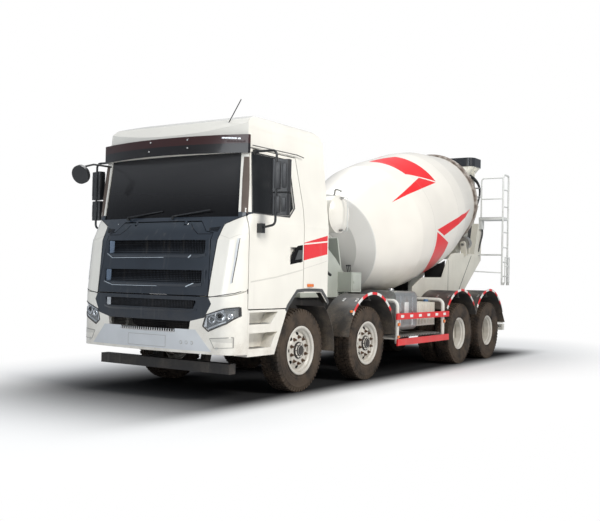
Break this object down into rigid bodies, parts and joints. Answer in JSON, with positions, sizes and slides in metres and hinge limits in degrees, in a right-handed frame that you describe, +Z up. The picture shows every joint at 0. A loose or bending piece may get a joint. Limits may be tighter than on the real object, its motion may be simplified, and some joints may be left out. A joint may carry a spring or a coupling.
{
  "type": "concrete mixer truck",
  "caption": "Rigid concrete mixer truck with tilting cab, turning tilted drum, front and rear stands, hoppers, swinging chute, side guards and rear ladder.",
  "frame": {"origin": "on the ground under the middle of the whole vehicle", "axes": "+X to the truck's left side, -Y to its front, +Z up"},
  "size_m": [3.2278, 9.5447, 3.9729],
  "materials": {
    "cab_paint": "gloss",
    "drum_paint": "gloss",
    "stand_paint": "satin",
    "dark_paint": "satin",
    "wheel_paint": "satin",
    "red_paint": "gloss",
    "frame_paint": "satin",
    "iron": "matte",
    "steel": "brushed",
    "tank_metal": "satin",
    "tyre": "matte",
    "black_plastic": "matte",
    "lid_plastic": "satin",
    "visor_plastic": "gloss",
    "window": "gloss",
    "lamp_glass": "gloss",
    "seat_fabric": "matte"
  },
  "bodies": {
    "chassis": {"chassis_frame": "frame_paint", "axles": "iron", "driveline": "iron", "drum_drive": "iron", "front_stand": "stand_paint", "water_tank": "cab_paint", "rear_stand": "stand_paint", "feed_hopper": "stand_paint", "hopper_band": "dark_paint", "discharge_hopper": "stand_paint", "mudguards": "black_plastic", "fuel_tank": "tank_metal", "side_boxes": "stand_paint", "side_guards": "stand_paint", "side_guard_rails": "red_paint", "ladder": "stand_paint"},
    "cab": {"cab_shell": "cab_paint", "windscreen": "window", "sun_visor": "visor_plastic", "cab_interior": "seat_fabric", "cab_fittings": "black_plastic", "bumper": "cab_paint", "lower_grille": "black_plastic", "headlamps": "lamp_glass", "step_panels": "cab_paint"},
    "lid": {"front_lid": "lid_plastic"},
    "left_door": {"door_left": "cab_paint", "door_glass_left": "window", "mirror_left": "black_plastic"},
    "right_door": {"door_right": "cab_paint", "door_glass_right": "window", "mirror_right": "black_plastic"},
    "mixer_drum": {"drum": "drum_paint"},
    "left_roller": {"roller_left": "steel"},
    "right_roller": {"roller_right": "steel"},
    "swivel_post": {"chute_post": "stand_paint"},
    "trough": {"chute": "stand_paint"},
    "barrel": {"jack_barrel": "dark_paint"},
    "rod": {"jack_rod": "steel"},
    "lower_ladder": {"ladder_lower": "stand_paint"},
    "steering_1_left": {"knuckle_1_left": "iron"},
    "front_wheel_1_left": {"wheel_1_left": "wheel_paint", "tyre_1_left": "tyre"},
    "steering_1_right": {"knuckle_1_right": "iron"},
    "front_wheel_1_right": {"wheel_1_right": "wheel_paint", "tyre_1_right": "tyre"},
    "steering_2_left": {"knuckle_2_left": "iron"},
    "front_wheel_2_left": {"wheel_2_left": "wheel_paint", "tyre_2_left": "tyre"},
    "steering_2_right": {"knuckle_2_right": "iron"},
    "front_wheel_2_right": {"wheel_2_right": "wheel_paint", "tyre_2_right": "tyre"},
    "rear_wheel_3_left": {"twin_wheel_3_left": "wheel_paint", "twin_tyres_3_left": "tyre"},
    "rear_wheel_3_right": {"twin_wheel_3_right": "wheel_paint", "twin_tyres_3_right": "tyre"},
    "rear_wheel_4_left": {"twin_wheel_4_left": "wheel_paint", "twin_tyres_4_left": "tyre"},
    "rear_wheel_4_right": {"twin_wheel_4_right": "wheel_paint", "twin_tyres_4_right": "tyre"}
  },
  "joints": [
    {"name": "cab_tilt", "type": "hinge", "parent": "chassis", "child": "cab", "pos_m": [0, -4.44, 0.9], "axis": [1, 0, 0], "range_deg": [0, 50]},
    {"name": "lid_open", "type": "hinge", "parent": "cab", "child": "lid", "pos_m": [0, -4.526, 2.065], "axis": [-1, 0, 0], "range_deg": [0, 70]},
    {"name": "door_left_open", "type": "hinge", "parent": "cab", "child": "left_door", "pos_m": [1.22, -4.365, 1.6], "axis": [0, 0, -1], "range_deg": [0, 70]},
    {"name": "door_right_open", "type": "hinge", "parent": "cab", "child": "right_door", "pos_m": [-1.22, -4.365, 1.6], "axis": [0, 0, 1], "range_deg": [0, 70]},
    {"name": "drum_spin", "type": "hinge", "parent": "chassis", "child": "mixer_drum", "pos_m": [0, 3.28, 3.02], "axis": [0, 0.9659, 0.2588], "continuous": true},
    {"name": "roller_left_spin", "type": "hinge", "parent": "chassis", "child": "left_roller", "pos_m": [0.59956, 3.50162, 2.19292], "axis": [0, 0.9659, 0.2588], "continuous": true},
    {"name": "roller_right_spin", "type": "hinge", "parent": "chassis", "child": "right_roller", "pos_m": [-0.59956, 3.50162, 2.19292], "axis": [0, 0.9659, 0.2588], "continuous": true},
    {"name": "steer_1_left", "type": "hinge", "parent": "chassis", "child": "steering_1_left", "pos_m": [0.82, -3.14, 0.53], "axis": [0, 0, 1], "range_deg": [-36, 36]},
    {"name": "wheel_1_left_spin", "type": "hinge", "parent": "steering_1_left", "child": "front_wheel_1_left", "pos_m": [1.021, -3.14, 0.53], "axis": [1, 0, 0], "continuous": true},
    {"name": "steer_1_right", "type": "hinge", "parent": "chassis", "child": "steering_1_right", "pos_m": [-0.82, -3.14, 0.53], "axis": [0, 0, 1], "range_deg": [-36, 36]},
    {"name": "wheel_1_right_spin", "type": "hinge", "parent": "steering_1_right", "child": "front_wheel_1_right", "pos_m": [-1.021, -3.14, 0.53], "axis": [1, 0, 0], "continuous": true},
    {"name": "steer_2_left", "type": "hinge", "parent": "chassis", "child": "steering_2_left", "pos_m": [0.82, -1.39, 0.53], "axis": [0, 0, 1], "range_deg": [-27, 27]},
    {"name": "wheel_2_left_spin", "type": "hinge", "parent": "steering_2_left", "child": "front_wheel_2_left", "pos_m": [1.021, -1.39, 0.53], "axis": [1, 0, 0], "continuous": true},
    {"name": "steer_2_right", "type": "hinge", "parent": "chassis", "child": "steering_2_right", "pos_m": [-0.82, -1.39, 0.53], "axis": [0, 0, 1], "range_deg": [-27, 27]},
    {"name": "wheel_2_right_spin", "type": "hinge", "parent": "steering_2_right", "child": "front_wheel_2_right", "pos_m": [-1.021, -1.39, 0.53], "axis": [1, 0, 0], "continuous": true},
    {"name": "wheel_3_left_spin", "type": "hinge", "parent": "chassis", "child": "rear_wheel_3_left", "pos_m": [0.935, 1.86, 0.53], "axis": [1, 0, 0], "continuous": true},
    {"name": "wheel_3_right_spin", "type": "hinge", "parent": "chassis", "child": "rear_wheel_3_right", "pos_m": [-0.935, 1.86, 0.53], "axis": [1, 0, 0], "continuous": true},
    {"name": "wheel_4_left_spin", "type": "hinge", "parent": "chassis", "child": "rear_wheel_4_left", "pos_m": [0.935, 3.21, 0.53], "axis": [1, 0, 0], "continuous": true},
    {"name": "wheel_4_right_spin", "type": "hinge", "parent": "chassis", "child": "rear_wheel_4_right", "pos_m": [-0.935, 3.21, 0.53], "axis": [1, 0, 0], "continuous": true},
    {"name": "chute_swing", "type": "hinge", "parent": "chassis", "child": "swivel_post", "pos_m": [0, 4.57, 1.5], "axis": [0, 0, 1], "range_deg": [-125, 0]},
    {"name": "chute_lift", "type": "hinge", "parent": "swivel_post", "child": "trough", "pos_m": [-0.12, 4.57, 1.96], "axis": [0, 1, 0], "range_deg": [-15, 15]},
    {"name": "jack_turn", "type": "hinge", "parent": "swivel_post", "child": "barrel", "pos_m": [-0.165, 4.57, 1.41], "axis": [0, 1, 0], "range_deg": [-6.22, 6.22]},
    {"name": "jack_stroke", "type": "slide", "parent": "barrel", "child": "rod", "axis": [-0.682, 0, 0.7313], "range_m": [-0.1085, 0.1085]},
    {"name": "ladder_fold", "type": "hinge", "parent": "chassis", "child": "lower_ladder", "pos_m": [1.12, 4.3975, 1.4], "axis": [0, 1, 0], "range_deg": [0, 180]}
  ],
  "couplings": [
    {"joint": "roller_left_spin", "follows": "drum_spin", "ratio": -7.36},
    {"joint": "roller_right_spin", "follows": "drum_spin", "ratio": -7.36},
    {"joint": "steer_1_right", "follows": "steer_1_left", "ratio": 1},
    {"joint": "steer_2_left", "follows": "steer_1_left", "ratio": 0.75},
    {"joint": "steer_2_right", "follows": "steer_1_left", "ratio": 0.75},
    {"joint": "jack_turn", "follows": "chute_lift", "ratio": 0.3816},
    {"joint": "jack_stroke", "follows": "chute_lift", "m_per_rad": 0.4067}
  ]
}
